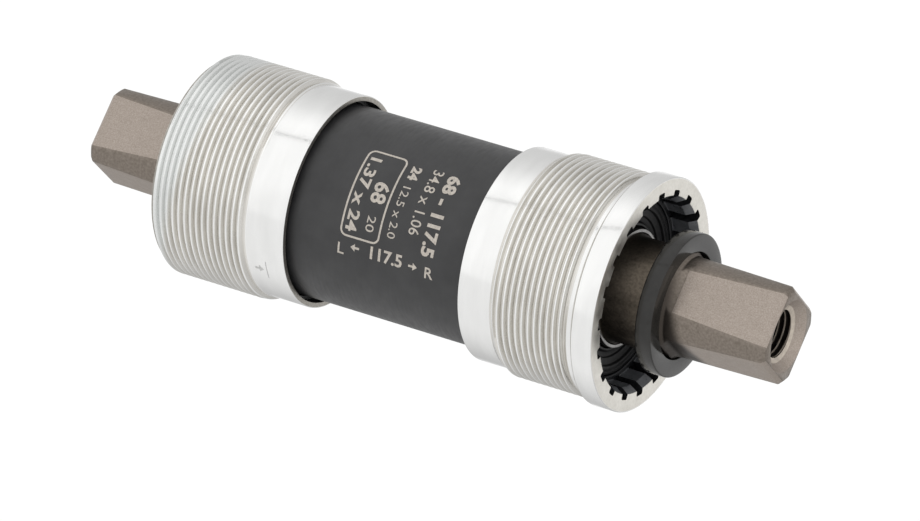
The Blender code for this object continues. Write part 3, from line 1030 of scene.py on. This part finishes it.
def rounded_frame(left, right, top, bottom, corner):
    """A rectangle with round corners, as a closed path."""
    path = []
    quarter = math.pi / 2
    centres = ((right - corner, top + corner, -quarter), (right - corner, bottom - corner, 0),
               (left + corner, bottom - corner, quarter), (left + corner, top + corner, 2 * quarter))
    for index, (along, around, start) in enumerate(centres):
        path += arc_points((along, around), corner, start, start + quarter)
        next_along, next_around, next_start = centres[(index + 1) % 4]
        next_point = (next_along + corner * math.cos(next_start),
                      next_around + corner * math.sin(next_start))
        path += straight(path[-1], next_point)
    return path


def draw_arrow(form, along, around, direction):
    """A short thick arrow along the axis."""
    tip = along + direction * ARROW_LENGTH / 2
    tail = along - direction * ARROW_LENGTH / 2
    neck = tip - direction * ARROW_HEAD
    outline = [(tail, -ARROW_SHAFT), (neck, -ARROW_SHAFT), (neck, -ARROW_BARB), (tip, 0),
               (neck, ARROW_BARB), (neck, ARROW_SHAFT), (tail, ARROW_SHAFT)]
    low = [form.verts.new((x, around + y, 0)) for x, y in outline]
    high = [form.verts.new((x, around + y, MARK_THICKNESS)) for x, y in outline]
    form.faces.new(low)
    form.faces.new(high)
    for index in range(len(outline)):
        form.faces.new((low[index - 1], low[index], high[index], high[index - 1]))


def slice_round(form):
    """Cut flat marks into strips narrow enough to follow the tube."""
    places = [vertex.co.y for vertex in form.verts]
    cuts = math.ceil((max(places) - min(places)) / SLICE)
    for cut in range(1, cuts):
        everything = [*form.verts, *form.edges, *form.faces]
        bmesh.ops.bisect_plane(form, geom=everything, dist=NEAR / 10, plane_no=(0, 1, 0),
                               plane_co=(0, min(places) + cut * SLICE, 0))


def add_figures(name, text, size, along, around, turned_down, bold, material, stretch):
    """Generic figures. turned_down sets them to read round the tube, with their tops to +X."""
    curve = bpy.data.curves.new(name, "FONT")
    curve.body = text
    curve.size = size
    curve.offset = bold
    curve.align_x = "CENTER"
    curve.align_y = "CENTER"
    curve.resolution_u = 3
    curve.extrude = MARK_THICKNESS / 2
    holder = bpy.data.objects.new(name, curve)
    bpy.context.scene.collection.objects.link(holder)
    graph = bpy.context.evaluated_depsgraph_get()
    mesh = bpy.data.meshes.new_from_object(holder.evaluated_get(graph))
    bpy.data.objects.remove(holder, do_unlink=True)
    form = bmesh.new()
    form.from_mesh(mesh)
    bmesh.ops.remove_doubles(form, verts=form.verts, dist=NEAR)
    for vertex in form.verts:
        across, up, height = vertex.co
        across *= stretch
        if turned_down:
            vertex.co = (along + up, around + across, height + MARK_THICKNESS / 2)
        else:
            vertex.co = (along + across, around - up, height + MARK_THICKNESS / 2)
    slice_round(form)
    mark_piece(name, form, material)


def draw_bar(form, along, start, stop, width):
    """A straight bar round the tube, between two angles in degrees."""
    first, last = (along, arc_length(start)), (along, arc_length(stop))
    draw_strip(form, [first] + straight(first, last) + [last], width)


def make_marks():
    """Generic size figures on the tube, a frame and arrows, and a faint arrow on the adapter."""
    material = etched_mark()
    form = bmesh.new()
    frame_path = rounded_frame(-9.5, -3.0, arc_length(109.8), arc_length(162.7), 1.0)
    draw_strip(form, frame_path, FRAME_LINE, closed=True)
    mark_piece("mark_frame", form, material)
    form = bmesh.new()
    draw_arrow(form, -6.75, arc_length(168.6), -1)
    draw_arrow(form, 3.3, arc_length(169.4), 1)
    mark_piece("mark_arrows", form, material)
    for name, text, size, along, degrees, turned_down, bold, stretch in FIGURES:
        add_figures(name, text, size, along, arc_length(degrees), turned_down, bold, material,
                    stretch)
    form = bmesh.new()
    draw_bar(form, -21.6, 191, 203, ENGRAVED_LINE)
    draw_arrow(form, -22.9, arc_length(197), 1)
    mark_piece("mark_tighten", form, engraved_mark(), PLAIN_R + ENGRAVING_LIFT, "left_adapter")


# ---------------------------------------------------------------- studio

def make_camera():
    """The camera looks down on the object from the front and a little from the drive side."""
    turned, raised = math.radians(AZIMUTH), math.radians(ELEVATION)
    back = Vector((math.sin(turned) * math.cos(raised), -math.cos(turned) * math.cos(raised),
                   math.sin(raised)))
    right = Vector((math.cos(turned), math.sin(turned), 0))
    up = back.cross(right)
    data = bpy.data.cameras.new("camera")
    data.lens = LENS
    data.sensor_width = SENSOR_WIDTH
    data.clip_start = 0.01
    camera = bpy.data.objects.new("camera", data)
    turned_axes = Matrix((right, up, back)).transposed().to_4x4()
    place = right * SIDEWAYS + up * UPWARD + back * BACKWARD
    camera.matrix_world = Matrix.Translation(place * MM) @ turned_axes
    bpy.context.scene.collection.objects.link(camera)
    bpy.context.scene.camera = camera


def grey_ramp(tree, value, stops):
    """Greys along a value, from stops of (value, grey) with greys up to BRIGHTEST."""
    low, high = stops[0][0], stops[-1][0]
    spread = tree.nodes.new("ShaderNodeMapRange")
    spread.inputs["From Min"].default_value = low
    spread.inputs["From Max"].default_value = high
    ramp = tree.nodes.new("ShaderNodeValToRGB")
    elements = ramp.color_ramp.elements
    for place, _ in stops[1:-1]:
        elements.new((place - low) / (high - low))
    for element, (_, grey) in zip(sorted(elements, key=lambda stop: stop.position), stops):
        element.color = (grey / BRIGHTEST, grey / BRIGHTEST, grey / BRIGHTEST, 1)
    tree.links.new(value, spread.inputs["Value"])
    tree.links.new(spread.outputs["Result"], ramp.inputs["Fac"])
    return ramp.outputs["Color"]


def make_world():
    """A white room whose roof and front are brighter than its back."""
    world = bpy.data.worlds.new("studio")
    world.use_nodes = True
    tree = world.node_tree
    place = tree.nodes.new("ShaderNodeTexCoord")
    split = tree.nodes.new("ShaderNodeSeparateXYZ")
    tree.links.new(place.outputs["Generated"], split.inputs["Vector"])
    background = tree.nodes["Background"]
    background.inputs["Strength"].default_value = BRIGHTEST
    tree.links.new(grey_ramp(tree, split.outputs["Y"], ROOM_GREYS), background.inputs["Color"])
    bpy.context.scene.world = world


def make_floor():
    """A glowing floor, far below: white behind the object and greyer under it."""
    form = bmesh.new()
    bmesh.ops.create_grid(form, x_segments=1, y_segments=1, size=FLOOR_REACH,
                          matrix=Matrix.Translation((0, 0, -FLOOR_DROP)))
    glow = new_material("studio_floor", (0, 0, 0), 1.0, 0.0, Specular_IOR_Level=0.0,
                        Emission_Strength=BRIGHTEST)
    place = add_node(glow, "TexCoord")
    split = add_node(glow, "SeparateXYZ")
    tree = glow.node_tree
    tree.links.new(place.outputs["Object"], split.inputs["Vector"])
    glowing = tree.nodes["Principled BSDF"].inputs["Emission Color"]
    tree.links.new(grey_ramp(tree, split.outputs["Y"], FLOOR_GREYS), glowing)
    finish_piece("studio_floor", form, [glow])


def make_seam():
    """A dark seam in the roof of the light tent, which the bright metal mirrors as a line."""
    form = bmesh.new()
    lean = math.radians(SEAM_ANGLE)
    place = Matrix.Translation((0, math.cos(lean) * SEAM_DISTANCE, math.sin(lean) * SEAM_DISTANCE))
    bmesh.ops.create_cube(form, size=1, matrix=place @ Matrix.Diagonal((*SEAM_SIZE, 1)))
    cloth = new_material("tent_seam", (0.01, 0.01, 0.01), 0.9, 0.0)
    finish_piece("tent_seam", form, [cloth])


def make_studio():
    make_world()
    make_floor()
    make_seam()
    bpy.context.scene.view_settings.view_transform = "Standard"


make_camera()
make_studio()
shared = cup_materials()
make_drive_cup(shared)
make_left_adapter(shared)
make_spindle()
make_collar()
make_tube()
make_spacer()
ground_steel = bearing_steel()
dark_steel = race_steel()
rubber = seal_rubber()
resin = cage_resin()
make_bearing("drive", list, ground_steel, dark_steel, rubber)
make_bearing("left", mirrored, ground_steel, dark_steel, rubber)
make_cage("drive", RACE_STATION, resin, ground_steel)
make_cage("left", -RACE_STATION - MIRROR_SHIFT, resin, ground_steel)
make_marks()
